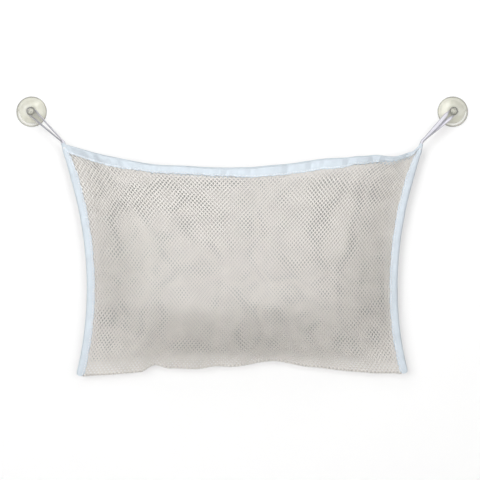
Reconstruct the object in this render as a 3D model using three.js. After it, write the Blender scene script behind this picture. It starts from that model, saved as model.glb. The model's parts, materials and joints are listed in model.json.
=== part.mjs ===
// A net bag for bath toys, hung on a wall from two suction cups by ribbon loops at its top corners.
// Millimetres, +Z up. The wall is the plane y = 0 and the bag hangs in front of it, at y < 0.
// The origin is on the wall, midway between the two suction cups.

import * as THREE from "three";

const { lerp, clamp } = THREE.MathUtils;

// Suction cups, as pressed on the wall beyond the bag's top corners
const CUP_REACH = 35;
const CUP_DIAMETER = 38;
const CUP_LIP_WIDTH = 2;
const CUP_LIP_THICKNESS = 0.8;
const CUP_HOLLOW_DEPTH = 3;
const CUP_CROWN_THICKNESS = 5;
const CUP_BELL_DIAMETER = 25;
const CUP_BELL_HEIGHT = 6.6;
const CUP_SHOULDER_DIAMETER = 12;
const NECK_DIAMETER = 6.5;
const HEAD_DIAMETER = 11;
const HEAD_THICKNESS = 4.5;

// Ribbon loops
const RIBBON_WIDTH = 6;
const RIBBON_THICKNESS = 0.8;
const LOOP_TAIL_LENGTH = 8;

// Outline of the bag, seen from the front
const BAG_DROP = 41;
const BAG_HEIGHT = 286;
const BAG_TOP_WIDTH = 452;
const BAG_WAIST_WIDTH = 384;
const BAG_WAIST_HEIGHT = 108;
const BAG_FOOT_WIDTH = 410;
const FRONT_SAG = 31;
const BACK_SAG = 28;
const BOTTOM_ARCH = 13;

// Depth of the bag, as filled
const BELLY_DEPTH = 72;
const BELLY_HEIGHT = 105;
const MOUTH_DEPTH = 36;
const BACK_BULGE = 6;
const BACK_MOUTH_BULGE = 3;

// Cloth, tape and thread
const NET_THICKNESS = 0.9;
const TAPE_THICKNESS = 0.6;
const HEM_WIDTH = 11;
const BINDING_WIDTH = 10;
const THREAD_DIAMETER = 0.7;
const STITCH_INSET = 1.8;
const BARTACK_LENGTH = 7;
const BARTACK_WIDTH = 2.6;
const BARTACK_THICKNESS = 0.8;
const BARTACK_DROP = 5;

// Openings of the nets: a plain grid that stands for the real mesh, which is far finer
const OPENING_COLUMNS = 9;
const OPENING_ROWS = 6;
const NET_BAR_WIDTH = 12;

// Clearances between neighbours
const CLEARANCE = 0.3;
const LOOP_CLEARANCE = 0.35;

// Mesh fineness
const FRONT_OPENING_STEPS = 2;
const BACK_OPENING_STEPS = 1;
const FOLD_STEPS = 5;
const BINDING_STEPS = 20;
const ROUND_SEGMENTS = 28;
const ARC_POINTS = 6;
const THREAD_SIDES = 5;
const HEM_THREAD_STEPS = 42;
const BINDING_THREAD_STEPS = 26;

// Depths in front of the wall, heights and insets that the pieces share
const neckLength = RIBBON_WIDTH + 2 * LOOP_CLEARANCE;
const crownY = -(CUP_HOLLOW_DEPTH + CUP_CROWN_THICKNESS);
const headY = crownY - neckLength;
const hangY = crownY - neckLength / 2;
const hemThickness = NET_THICKNESS + 2 * (CLEARANCE + TAPE_THICKNESS);
const panelPitch = hemThickness + CLEARANCE;
const backY = hangY + panelPitch / 2;
const frontY = hangY - panelPitch / 2;
const topZ = -BAG_DROP;
const footZ = topZ - BAG_HEIGHT;
const waistZ = footZ + BAG_WAIST_HEIGHT;
const foldDrop = (panelPitch + NET_THICKNESS) / 2;
const slotHalf = foldDrop + CLEARANCE;
const bindingHalf = slotHalf + TAPE_THICKNESS;
const innerInset = BINDING_WIDTH + CLEARANCE;
const slotInset = TAPE_THICKNESS + CLEARANCE;
const foldOver = CLEARANCE + TAPE_THICKNESS;
const cupX = BAG_TOP_WIDTH / 2 + CUP_REACH;

// Solid between rings of equal length, closed at both ends by the same triangles of ring corners
function loft(rings, capTriangles) {
  const count = rings[0].length;
  const positions = rings.flat().flatMap((point) => [point.x, point.y, point.z]);
  const index = [];
  for (let ring = 0; ring < rings.length - 1; ring += 1) {
    for (let corner = 0; corner < count; corner += 1) {
      const a = ring * count + corner;
      const b = ring * count + (corner + 1) % count;
      index.push(a, b, b + count, a, b + count, a + count);
    }
  }
  const last = (rings.length - 1) * count;
  for (const [a, b, c] of capTriangles) {
    index.push(a, c, b, last + a, last + b, last + c);
  }
  const geometry = new THREE.BufferGeometry();
  geometry.setAttribute("position", new THREE.Float32BufferAttribute(positions, 3));
  geometry.setIndex(index);
  geometry.computeVertexNormals();
  return geometry;
}

// Folded tape in section: two leaves and the fold that joins them, open towards +x
function foldedTape(foldX, width, slot) {
  const outside = slot + TAPE_THICKNESS;
  const insideX = foldX + TAPE_THICKNESS;
  return [
    new THREE.Vector2(width, -outside),
    new THREE.Vector2(width, -slot),
    new THREE.Vector2(insideX, -slot),
    new THREE.Vector2(insideX, slot),
    new THREE.Vector2(width, slot),
    new THREE.Vector2(width, outside),
    new THREE.Vector2(foldX, outside),
    new THREE.Vector2(foldX, -outside),
  ];
}

// Evenly spaced values from start to end
function spread(start, end, steps) {
  return Array.from({ length: steps + 1 }, (_, step) => lerp(start, end, step / steps));
}

// Upward direction and place of the bag's right side edge at height share v, moved inwards by inset
function sideEdge(v, inset) {
  const z = lerp(footZ, topZ, v);
  const upper = z > waistZ;
  const endZ = upper ? topZ : footZ;
  const flare = ((upper ? BAG_TOP_WIDTH : BAG_FOOT_WIDTH) - BAG_WAIST_WIDTH) / 2;
  const share = (z - waistZ) / (endZ - waistZ);
  const slope = (2 * flare * share) / (endZ - waistZ);
  const up = new THREE.Vector3(slope, 0, 1).normalize();
  const inward = new THREE.Vector3(-up.z, 0, up.x);
  const point = new THREE.Vector3(BAG_WAIST_WIDTH / 2 + flare * share ** 2, hangY, z);
  return { up, point: point.addScaledVector(inward, inset) };
}

// How far a panel swells from its edges: nothing at the sides and the bottom, belly deep at its
// fullest height and mouth deep at the top edge
function swell(across, v, belly, mouth) {
  const fullest = BELLY_HEIGHT / BAG_HEIGHT;
  const sideways = (1 - across ** 4) ** 1.5;
  if (v < fullest) {
    return belly * sideways * Math.sin((Math.PI / 2) * (v / fullest)) ** 1.4;
  }
  const above = (v - fullest) / (1 - fullest);
  return sideways * lerp(mouth, belly, (1 + Math.cos(Math.PI * above)) / 2);
}

// Panel of net as a surface. u is -1 and 1 at the inner edges of the bindings and reaches -2 and 2
// at the bottom of their slots, v is 0 at the bottom fold and 1 at the top edge
function makePanel(baseY, sag, belly, mouth) {
  return (u, v) => {
    const across = Math.min(Math.abs(u), 1);
    const inset = lerp(innerInset, slotInset, Math.abs(u) - across);
    const edge = sideEdge(v, inset).point;
    const lift = (1 - across ** 2) * lerp(BOTTOM_ARCH, -sag, v);
    const y = baseY + swell(across, v, belly, mouth);
    return new THREE.Vector3(clamp(u, -1, 1) * edge.x, y, edge.z + lift);
  };
}

const frontPanel = makePanel(frontY, FRONT_SAG, -BELLY_DEPTH, -MOUTH_DEPTH);
const flatBackPanel = makePanel(backY, BACK_SAG, BACK_BULGE, BACK_MOUTH_BULGE);

// Back panel, with the bottom fold from v = 0 round to v = -1, where the front panel takes over
function backPanel(u, v) {
  const point = flatBackPanel(u, Math.max(v, 0));
  if (v < 0) {
    const turn = -v * Math.PI;
    point.y -= (panelPitch / 2) * (1 - Math.cos(turn));
    point.z -= (panelPitch / 2) * Math.sin(turn);
  }
  return point;
}

// Unit normal of a panel on its front side, and its height in mm for a whole step of v
function panelNormal(panel, u, v) {
  const step = 1e-4;
  const alongU = panel(u + step, v).sub(panel(u - step, v));
  const alongV = panel(u, v + step).sub(panel(u, v - step));
  return { normal: alongU.cross(alongV.clone()).normalize(), height: alongV.length() / (2 * step) };
}

// Point at a distance s below the top edge of a panel, raised off its front side by offset
function belowTopEdge(panel, u, s, offset) {
  const v = 1 - s / panelNormal(panel, u, 1).height;
  const { normal } = panelNormal(panel, u, v);
  return panel(u, v).addScaledVector(normal, offset);
}

// Lines from start to end at the edges of bars and at steps across the openings between them
function gridLines(start, end, openings, bar, steps) {
  const low = spread(start, end - bar, openings);
  const across = low.slice(1).flatMap((next, opening) => spread(low[opening] + bar, next, steps));
  return [start, ...across, end];
}

// Whether a cell between grid lines lies in an opening; first is the line that the grid starts at
function inOpening(cell, first, openings, steps) {
  const place = cell - first;
  return place >= 0 && place < openings * (steps + 1) && place % (steps + 1) > 0;
}

// Sheet of net about a panel, from lines of u and v, with the openings of its grid cut out
function netSheet(panel, us, vs, firstU, firstV, steps) {
  const isSolid = (column, row) => (
    column >= 0 && column < us.length - 1 && row >= 0 && row < vs.length - 1
    && !(inOpening(column, firstU, OPENING_COLUMNS, steps) && inOpening(row, firstV, OPENING_ROWS, steps))
  );
  const positions = [];
  const index = [];
  const numbers = new Map();
  const corner = (side, column, row) => {
    const key = [side, column, row].join();
    if (!numbers.has(key)) {
      const { normal } = panelNormal(panel, us[column], vs[row]);
      const point = panel(us[column], vs[row]).addScaledVector(normal, (side * NET_THICKNESS) / 2);
      numbers.set(key, positions.length / 3);
      positions.push(point.x, point.y, point.z);
    }
    return numbers.get(key);
  };
  for (let column = 0; column < us.length - 1; column += 1) {
    for (let row = 0; row < vs.length - 1; row += 1) {
      if (isSolid(column, row)) {
        const loop = [[column, row], [column + 1, row], [column + 1, row + 1], [column, row + 1]];
        const [a, b, c, d] = loop.map((place) => corner(1, ...place));
        const [e, f, g, h] = loop.map((place) => corner(-1, ...place));
        index.push(a, b, c, a, c, d, e, h, f, h, g, f);
        if (!isSolid(column, row - 1)) index.push(a, e, f, a, f, b);
        if (!isSolid(column + 1, row)) index.push(b, f, g, b, g, c);
        if (!isSolid(column, row + 1)) index.push(c, g, h, c, h, d);
        if (!isSolid(column - 1, row)) index.push(d, h, e, d, e, a);
      }
    }
  }
  const geometry = new THREE.BufferGeometry();
  geometry.setAttribute("position", new THREE.Float32BufferAttribute(positions, 3));
  geometry.setIndex(index);
  geometry.computeVertexNormals();
  return geometry;
}

// Tape folded over the top edge of a panel, stopping beside the bindings
function hemTape(panel, us) {
  const section = foldedTape(-foldOver, HEM_WIDTH, NET_THICKNESS / 2 + CLEARANCE);
  const rings = us.map((u) => (
    section.map((corner) => belowTopEdge(panel, u, corner.x, -corner.y))
  ));
  return loft(rings, THREE.ShapeUtils.triangulateShape(section, []));
}

// Tape folded over one side edge of both panels; side is 1 on the right and -1 on the left
function sideBinding(side) {
  const section = foldedTape(0, BINDING_WIDTH, slotHalf);
  const ends = [-foldDrop / BAG_HEIGHT, 1 + foldOver / BAG_HEIGHT];
  const rings = spread(...ends, BINDING_STEPS).map((v) => section.map((corner) => {
    const { point } = sideEdge(v, corner.x);
    return new THREE.Vector3(side * point.x, hangY + corner.y, point.z);
  }));
  const capTriangles = THREE.ShapeUtils.triangulateShape(section, []);
  return loft(side > 0 ? rings.reverse() : rings, capTriangles);
}

// Seam thread along a list of points
function thread(points, steps) {
  const section = new THREE.Shape();
  section.setFromPoints(spread(0, 2 * Math.PI, THREAD_SIDES).slice(0, -1).map((angle) => (
    new THREE.Vector2(Math.cos(angle), Math.sin(angle)).multiplyScalar(THREAD_DIAMETER / 2)
  )));
  const extrudePath = new THREE.CatmullRomCurve3(points);
  return new THREE.ExtrudeGeometry(section, { steps, bevelEnabled: false, extrudePath });
}

// Seam along the lower edge of a hem, on the side of the panel that faces outwards
function hemThread(panel, us, outward) {
  const raise = outward * (hemThickness / 2 + CLEARANCE + THREAD_DIAMETER / 2);
  const end = 1 - STITCH_INSET / (BAG_TOP_WIDTH / 2);
  const points = us.map((u) => belowTopEdge(panel, u * end, HEM_WIDTH - STITCH_INSET, raise));
  return thread(points, HEM_THREAD_STEPS);
}

// Seam along the inner edge of a binding, on its front leaf, from the bottom to the bar tack
function bindingThread(side) {
  const y = hangY - bindingHalf - CLEARANCE - THREAD_DIAMETER / 2;
  const top = 1 - (BARTACK_DROP + BARTACK_WIDTH) / BAG_HEIGHT;
  const points = spread(0, top, BINDING_STEPS).map((v) => {
    const { point } = sideEdge(v, BINDING_WIDTH - STITCH_INSET);
    return new THREE.Vector3(side * point.x, y, point.z);
  });
  return thread(points, BINDING_THREAD_STEPS);
}

// Bar tack that holds the loop's tail in the top of a binding
function cornerBartack(side) {
  const half = (BARTACK_LENGTH - BARTACK_WIDTH) / 2;
  const shape = new THREE.Shape();
  shape.absarc(half, 0, BARTACK_WIDTH / 2, -Math.PI / 2, Math.PI / 2);
  shape.absarc(-half, 0, BARTACK_WIDTH / 2, Math.PI / 2, (3 * Math.PI) / 2);
  const geometry = new THREE.ExtrudeGeometry(shape, {
    depth: BARTACK_THICKNESS,
    bevelEnabled: false,
    curveSegments: ARC_POINTS,
  });
  const { up, point } = sideEdge(1, BINDING_WIDTH / 2);
  point.addScaledVector(up, -BARTACK_DROP);
  geometry.rotateX(Math.PI / 2);
  geometry.rotateY(side * Math.atan2(up.x, up.z));
  return geometry.translate(side * point.x, hangY - bindingHalf - CLEARANCE, point.z);
}

// Where a loop's tail turns, just above the top end of its binding
function loopFoot() {
  const { up, point } = sideEdge(1 + foldOver / BAG_HEIGHT, BINDING_WIDTH / 2);
  return point.addScaledVector(up, CLEARANCE + RIBBON_THICKNESS);
}

// Ribbon loop: round the cup's neck, down in two legs, and doubled in a tail at the bag's corner.
// In its own plane the tail turns about the origin and the neck is straight up
function hangingLoop(side) {
  const foot = loopFoot();
  const reach = new THREE.Vector2(cupX - foot.x, -foot.z);
  const neckAt = reach.length();
  const inner = NECK_DIAMETER / 2 + LOOP_CLEARANCE;
  const outer = inner + RIBBON_THICKNESS;
  const spreadAngle = Math.asin(inner / (neckAt - LOOP_TAIL_LENGTH));
  const tailTop = LOOP_TAIL_LENGTH - RIBBON_THICKNESS * Math.tan(spreadAngle / 2);
  const outline = new THREE.Shape();
  outline.absarc(0, 0, RIBBON_THICKNESS, Math.PI, 2 * Math.PI);
  outline.lineTo(RIBBON_THICKNESS, tailTop);
  outline.absarc(0, neckAt, outer, -spreadAngle, Math.PI + spreadAngle);
  outline.lineTo(-RIBBON_THICKNESS, tailTop);
  const hole = new THREE.Path();
  hole.absarc(0, neckAt, inner, -spreadAngle, Math.PI + spreadAngle);
  hole.lineTo(0, LOOP_TAIL_LENGTH);
  outline.holes.push(hole);
  const geometry = new THREE.ExtrudeGeometry(outline, {
    depth: RIBBON_WIDTH,
    bevelEnabled: false,
    curveSegments: ROUND_SEGMENTS / 2,
  });
  geometry.rotateX(Math.PI / 2);
  geometry.rotateY(side * Math.atan2(reach.x, reach.y));
  return geometry.translate(side * foot.x, hangY + RIBBON_WIDTH / 2, foot.z);
}

// Quarter of an ellipse in the plane of a turned profile
function quarterEllipse(center, radius, height) {
  return spread(0, Math.PI / 2, ARC_POINTS).map((angle) => (
    new THREE.Vector2(center.x + radius * Math.cos(angle), center.y - height * Math.sin(angle))
  ));
}

// Suction cup: hollow face on the wall, bell, neck and head, in one moulding
function suctionCup() {
  const lipRadius = CUP_DIAMETER / 2;
  const wallCenter = new THREE.Vector2(0, 0);
  const headCenter = new THREE.Vector2(0, headY);
  const hollow = quarterEllipse(wallCenter, lipRadius - CUP_LIP_WIDTH, CUP_HOLLOW_DEPTH);
  const bell = new THREE.QuadraticBezierCurve(
    new THREE.Vector2(lipRadius, -CUP_LIP_THICKNESS),
    new THREE.Vector2(CUP_BELL_DIAMETER / 2, -CUP_BELL_HEIGHT),
    new THREE.Vector2(CUP_SHOULDER_DIAMETER / 2, crownY),
  );
  const profile = [
    ...hollow.reverse(),
    new THREE.Vector2(lipRadius, 0),
    ...bell.getPoints(ARC_POINTS),
    new THREE.Vector2(NECK_DIAMETER / 2, crownY),
    new THREE.Vector2(NECK_DIAMETER / 2, headY),
    ...quarterEllipse(headCenter, HEAD_DIAMETER / 2, HEAD_THICKNESS),
  ];
  profile[0].x = 0;
  profile.at(-1).x = 0;
  return new THREE.LatheGeometry(profile.reverse(), ROUND_SEGMENTS);
}

// Finishes, by material
const FINISHES = {
  net: { color: 0xeff0f2, roughness: 0.7, metalness: 0 },
  tape: { color: 0xdfe7f1, roughness: 0.65, metalness: 0 },
  ribbon: { color: 0xeceaf3, roughness: 0.5, metalness: 0 },
  thread: { color: 0xf6f6f8, roughness: 0.6, metalness: 0 },
  vinyl: { color: 0xdcdccf, roughness: 0.15, metalness: 0 },
};

const bag = new THREE.Group();

function addPiece(name, geometry, finish, position = new THREE.Vector3()) {
  const mesh = new THREE.Mesh(geometry, new THREE.MeshStandardMaterial(FINISHES[finish]));
  mesh.name = name;
  mesh.position.copy(position);
  bag.add(mesh);
}

// Grid of a net between the bindings, and up to the lower edge of its hem, where it is lowest
function netGrid(start, sag, steps) {
  const barU = NET_BAR_WIDTH / (BAG_WAIST_WIDTH / 2 - innerInset);
  const barV = NET_BAR_WIDTH / BAG_HEIGHT;
  const hemV = HEM_WIDTH / (BAG_HEIGHT - sag - BOTTOM_ARCH);
  return {
    us: gridLines(-1, 1, OPENING_COLUMNS, barU, steps),
    vs: [...gridLines(start, 1 - hemV, OPENING_ROWS, barV, steps), 1],
  };
}

const front = netGrid(CLEARANCE / BAG_HEIGHT, FRONT_SAG, FRONT_OPENING_STEPS);
const back = netGrid(0, BACK_SAG, BACK_OPENING_STEPS);
const backAcross = [-2, ...back.us, 2];
const backUp = [...spread(-1, 0, FOLD_STEPS).slice(0, -1), ...back.vs];

addPiece("front_net", netSheet(frontPanel, front.us, front.vs, 0, 0, FRONT_OPENING_STEPS), "net");
addPiece("back_net", netSheet(backPanel, backAcross, backUp, 1, FOLD_STEPS, BACK_OPENING_STEPS), "net");
addPiece("front_hem_tape", hemTape(frontPanel, front.us), "tape");
addPiece("back_hem_tape", hemTape(backPanel, back.us), "tape");
addPiece("front_hem_thread", hemThread(frontPanel, front.us, 1), "thread");
addPiece("back_hem_thread", hemThread(backPanel, back.us, -1), "thread");

for (const [name, side] of [["left", -1], ["right", 1]]) {
  const cupPlace = new THREE.Vector3(side * cupX, 0, 0);
  addPiece(`${name}_side_binding`, sideBinding(side), "tape");
  addPiece(`${name}_binding_thread`, bindingThread(side), "thread");
  addPiece(`${name}_corner_bartack`, cornerBartack(side), "thread");
  addPiece(`${name}_hanging_loop`, hangingLoop(side), "ribbon");
  addPiece(`${name}_suction_cup`, suctionCup(), "vinyl", cupPlace);
}

export default bag;
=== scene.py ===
import json
import math

import bpy
import numpy as np
from bpy.props import FloatProperty, FloatVectorProperty, PointerProperty
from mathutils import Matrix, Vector


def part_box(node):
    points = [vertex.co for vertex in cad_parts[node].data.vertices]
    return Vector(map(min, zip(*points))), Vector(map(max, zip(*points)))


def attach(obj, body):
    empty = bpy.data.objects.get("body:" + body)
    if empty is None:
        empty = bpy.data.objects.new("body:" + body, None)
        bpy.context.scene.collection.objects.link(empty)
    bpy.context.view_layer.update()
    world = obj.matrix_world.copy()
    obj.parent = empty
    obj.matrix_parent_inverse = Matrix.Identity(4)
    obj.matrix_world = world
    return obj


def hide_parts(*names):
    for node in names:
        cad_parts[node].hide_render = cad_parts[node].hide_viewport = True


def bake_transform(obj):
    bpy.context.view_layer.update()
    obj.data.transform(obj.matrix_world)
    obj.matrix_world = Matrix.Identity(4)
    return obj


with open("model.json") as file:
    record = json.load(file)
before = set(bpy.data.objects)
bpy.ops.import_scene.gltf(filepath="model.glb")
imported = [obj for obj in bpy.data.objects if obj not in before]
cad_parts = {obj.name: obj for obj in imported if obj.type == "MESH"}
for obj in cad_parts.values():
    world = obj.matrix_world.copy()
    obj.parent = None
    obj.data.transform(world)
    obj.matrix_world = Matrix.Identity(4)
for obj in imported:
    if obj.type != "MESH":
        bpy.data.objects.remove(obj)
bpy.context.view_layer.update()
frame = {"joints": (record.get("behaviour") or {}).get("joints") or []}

bl_info = {
    "name": "Net Bath Toy Bag",
    "version": (1, 0, 0),
    "blender": (4, 5, 0),
    "location": "3D View > Sidebar > Toy Bag",
    "description": "Dresses the packed bath toy bag with knitted net, sewn tape, ribbon and clear cups",
    "category": "Object",
}

SIDES = (("left", -1), ("right", 1))
FRONT = -1
BACK = 1
# Millimetres in a metre.
MILLIMETRES = 1000.0
# Faces that meet at a sharper angle than this keep a crisp edge.
CREASE_ANGLE = math.radians(50)
# Width of the front hem's outer leaf along the hem, against its usual width, as the tape rolls.
HEM_ROLL = (
    (-1.0, 1.15), (-0.75, 1.2), (-0.5, 0.88), (-0.15, 0.82), (0.12, 1.1), (0.5, 1.2), (0.7, 0.85),
    (0.88, 0.45), (1.0, 0.5),
)
# How far the bottom fold lies above its even curve, along the fold, in metres.
FOLD_LINE = (
    (-1.0, 0.0030), (-0.8, 0.0009), (-0.64, 0.0006), (-0.55, 0.0078), (-0.45, 0.0026), (-0.28, 0.0003),
    (-0.16, 0.0031), (-0.07, 0.0020), (0.2, 0.0095), (0.42, 0.0042), (0.65, 0.0024), (0.8, 0.0028),
    (1.0, 0.0062),
)
# How far the top edge lies above its even curve, along the hem, in metres.
HEM_LINE = (
    (-1.0, -0.0010), (-0.75, -0.0035), (-0.5, -0.0051), (-0.3, -0.0027), (-0.15, -0.0026), (0.02, -0.0018),
    (0.2, 0.0002), (0.45, 0.0030), (0.62, 0.0004), (0.72, -0.0016), (0.87, -0.0092), (0.95, -0.0080),
    (1.0, -0.0020),
)
# Distances over which the fold's and the top edge's unevenness fades into the net, in metres.
FOLD_REACH = 0.05
HEM_REACH = 0.06
# Turns and phases of the sines that make up each uneven ripple.
RIPPLES = {
    "hem_gathers": ((6.3, 0.4), (9.1, 1.9), (14.7, 0.2)),
    "fold_gathers": ((7.9, 1.1), (12.3, 0.6)),
    "side_gathers": ((8.7, 0.9), (13.1, 2.2)),
    "aside_upwards": ((2.9, 0.4), (4.3, 2.0)),
    "aside_across": ((2.6, 1.1), (3.7, 0.3)),
    "lift_across": ((2.3, 0.9), (3.9, 1.6)),
    "lift_upwards": ((3.4, 0.2), (5.1, 2.4)),
    "hem_wander": ((5.7, 0.8), (11.9, 2.1), (23.3, 0.5), (37.1, 1.3)),
    "hem_flutter": ((13.1, 0.3), (19.7, 1.4), (31.0, 2.2)),
    "binding_wander": ((7.3, 0.4), (15.1, 1.7), (29.0, 0.2)),
    "binding_flutter": ((24.0, 0.9), (37.0, 2.0)),
}
# Powers that shape the swelling bag: across it, how roundly it meets its sides, and how it rises.
SWELL_ACROSS = 4
SWELL_MEETING = 1.5
SWELL_RISE = 1.4
# Lumps of the filled bag: how fast each of two sines turns across and up the net, and its phase.
LUMPS = ((7.1, 2.3, 0.7), (-2.9, 9.7, 0.4))
# Height share over which the lumps grow from the fold.
LUMPS_START = 0.25
# Height of the gathers along the fold and the bindings, against those along the hem, and their slant.
FOLD_GATHER = 0.5
SIDE_GATHER = 0.8
SIDE_SLANT = 0.1
# Distance from a binding over which its seam holds the net flat, in metres.
FLAT_EDGE = 0.02
# Shares of a net's half width and of its height over which its slack grows from its seams.
SLACK_SIDE = 0.12
SLACK_END = 0.1
# Slant of the ripples that draw the slack net aside and up.
ASIDE_SLANT = 0.3
LIFT_SLANT = -0.2
# Where the hems and their seams end, as shares of the net's half width.
HEM_END = 1.005
HEM_SEAM_END = 0.992
# Points along half a hem and along each stretch of its seam, and across a hem's lip, leaf and turn.
HEM_POINTS = 180
HEM_SEAM_POINTS = 600
LIP_POINTS = 4
LEAF_POINTS = 9
TURN_POINTS = 9
# How far the fold of a hem lies below the bag's top line, in metres.
HEM_FOLD_DROP = 0.0004
# How far a hem's edge wanders, as a share of its width, and how far it stands off the net, in metres.
HEM_WANDER = 0.09
LIP_FLUTTER = 0.0012
# How deep the stitches pull the tape in, and the distance over which they do, in metres.
STITCH_PULL = 0.0003
STITCH_PULL_REACH = 0.0012
# Share by which a hem is flattened at its ends, and where along the hem that starts.
HEM_TUCK = 0.5
HEM_TUCK_START = 0.972
# Section of a folded binding, from its edge to its fold, as shares of its width and of its half depth.
BINDING_SECTION = (
    (1.0, 0.9), (0.86, 0.93), (0.72, 0.96), (0.58, 1.0), (0.44, 1.0), (0.32, 0.97), (0.22, 0.88),
    (0.14, 0.72), (0.08, 0.48), (0.04, 0.2),
)
# Rows of points along a binding, and the row where its section is measured.
BINDING_ROWS = 190
SECTION_ROW = 90
# Height shares between which a binding, its seam and its bar tack run, and points along the seam.
BINDING_ENDS = (-0.0065, 1.003)
BINDING_SEAM_ENDS = (0.0, 0.97)
BAR_TACK_ENDS = (0.976, 0.988)
BINDING_SEAM_POINTS = 500
# Stitches of a bar tack, and the shares of the binding's width between which they lie.
BAR_TACK_STITCHES = 11
BAR_TACK_SIDES = (0.22, 0.78)
# Depth of the tape under a binding's seam and under its bar tack, against the binding's half depth.
BINDING_SEAM_DEPTH = 0.94
BAR_TACK_DEPTH = 0.92
# Steps in which a binding is gathered: the share of each, the height share where it starts, and its rise.
BINDING_GATHERS = ((0.45, 0.84, 0.13), (0.55, 0.935, 0.065))
# How much narrower and flatter a binding is where it is gathered at the top and pinched at its foot.
TOP_NARROWING = 0.6
TOP_FLATTENING = 0.25
FOOT_NARROWING = 0.2
FOOT_FLATTENING = 0.25
# Length of a binding's rounded foot, as a height share, and the height of its rounding in metres.
FOOT_LENGTH = 0.022
FOOT_ROUNDING = 0.0018
# Creases of a binding as a share of its size, how much they grow at the top corner, and where they do.
BINDING_CREASE = 0.07
CORNER_CREASE = 2.0
CORNER_CREASE_START = 0.92
CORNER_CREASE_RISE = 0.06
# How far the end of each side binding stands out at the top corner, in metres, and where it does.
BINDING_EARS = {-1: 0.0008, 1: 0.0010}
EAR_HEIGHT = 0.97
EAR_REACH = 0.018
# A stitch's half height, the drop of its ends and its lift off the tape, in widths of the thread.
STITCH_HALF_HEIGHT = 0.4
STITCH_END_DROP = 0.3
STITCH_LIFT = 0.2
# Distance from a stitch's middle past which its ends are drawn down, as a share of its length.
STITCH_END = 0.4
# For each ribbon loop: how far its legs are apart at the corner, the height where they part and how much
# wider than the neck they turn round it, in metres, the power by which they part, its gathered width at the
# corner, and how far its face is turned to the room, both as shares.
LOOP_FORMS = {-1: (0.0013, 0.0, 0.0012, 1.0, 0.55, 0.1), 1: (0.0, 0.006, 0.0, 1.6, 0.55, 0.55)}
# Points along a loop's leg, round the neck and across the ribbon.
LEG_POINTS = 56
NECK_POINTS = 25
RIBBON_POINTS = 9
# Gap between the ribbon and the neck that it goes round, in metres.
NECK_GAP = 0.00035
# Length over which a loop turns its face at the corner, how far below the neck it starts to turn its edge
# to the room, and the length over which it does, in metres.
CORNER_TWIST = 0.006
EDGE_ON_START = 0.011
EDGE_ON_LENGTH = 0.008
# Height above the corner where a loop starts to spread to its full width, and the length that it takes.
SPREAD_START = 0.002
SPREAD_LENGTH = 0.024
# Distance of a loop's legs from the plane between them, in thicknesses of the ribbon.
LEG_LAYER = 0.75
# How far the ribbon's edges are turned up, in metres.
RIBBON_CUPPING = 0.001
# Height shares of the binding's end, which the ribbon's tails follow.
TAIL_ENDS = (0.96, 1.0)
# Distance of a cup's bell from the wall at its neck, and depth of its head, in metres.
CUP_CROWN = 0.008
CUP_HEAD = 0.0045
# Points round a cup before it is rounded.
CUP_POINTS = 32
# The way, outwards and upwards, to the clear crescent in a cup's lip: painted light, a clearer patch on the
# lower outer side that stands in for light focused through the bell.
CRESCENT_WAY = (0.55, -0.83)
# Width and depth of the floor, height of the wall's top edge and gap behind the cups, in metres.
FLOOR_WIDTH = 4.0
FLOOR_DEPTH = 2.4
WALL_TOP = 1.42
WALL_GAP = 0.0005
# Share of white light of their own with which the camera sees the wall and the floor.
PLASTER_GLOW = 0.45
# How much darker the camera sees the wall where the bag hides it: painted shade behind the bag.
BEHIND_BAG_SHADE = 0.62
# Squares of the distances between which the floor turns white, in square metres.
FLOOR_FADE = (0.3, 1.2)


def joint_place(name):
    """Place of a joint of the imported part, in metres."""
    return Vector(next(joint for joint in frame["joints"] if joint["name"] == name)["pos_m"])


LOOP_FOOT = joint_place("right_loop_swing")
NECK = joint_place("right_cup_swivel")
CUP_LOW, CUP_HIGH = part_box("right_suction_cup")


def length(name, description, default):
    """A length that the user may change, in metres."""
    return FloatProperty(name=name, description=description, default=default, unit="LENGTH", precision=5)


def colour(name, description, default):
    """A colour that the user may change, as linear red, green and blue."""
    return FloatVectorProperty(
        name=name, description=description, default=default, subtype="COLOR", size=3, min=0.0, max=1.0
    )


def power(name, description, default):
    """Power of a lamp, which the user may change, in watts."""
    return FloatProperty(name=name, description=description, default=default, unit="POWER")


class BagShape(bpy.types.PropertyGroup):
    """Outline and depth of the hung, filled bag"""

    drop: length("Drop", "Height of the cups above the bag's top corners", 0.041)
    height: length("Height", "Height of the side edges", 0.286)
    top_width: length("Top width", "Width between the top corners", 0.452)
    waist_width: length("Waist width", "Least width of the bag", 0.384)
    waist_height: length("Waist height", "Height of the least width above the bottom corners", 0.108)
    foot_width: length("Foot width", "Width between the bottom corners", 0.410)
    front_sag: length("Front sag", "How far the front hem hangs below the corners", 0.031)
    back_sag: length("Back sag", "How far the back hem hangs below the corners", 0.028)
    bottom_arch: length("Bottom arch", "How far the bottom fold is drawn up in the middle", 0.013)
    belly_depth: length("Belly depth", "How far the front swells out at its fullest", 0.072)
    belly_height: length("Belly height", "Height of the fullest part above the bottom", 0.105)
    mouth_depth: length("Mouth depth", "How far the front hem stands out in the middle", 0.036)
    back_bulge: length("Back bulge", "How far the back swells towards the wall", 0.006)
    back_mouth_bulge: length("Back mouth bulge", "How far the back hem swells towards the wall", 0.003)
    hang_depth: length("Hang depth", "Distance of the side edges from the wall", -NECK.y)
    panel_pitch: length("Panel pitch", "Distance between the front and back net at their edges", 0.003)


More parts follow.
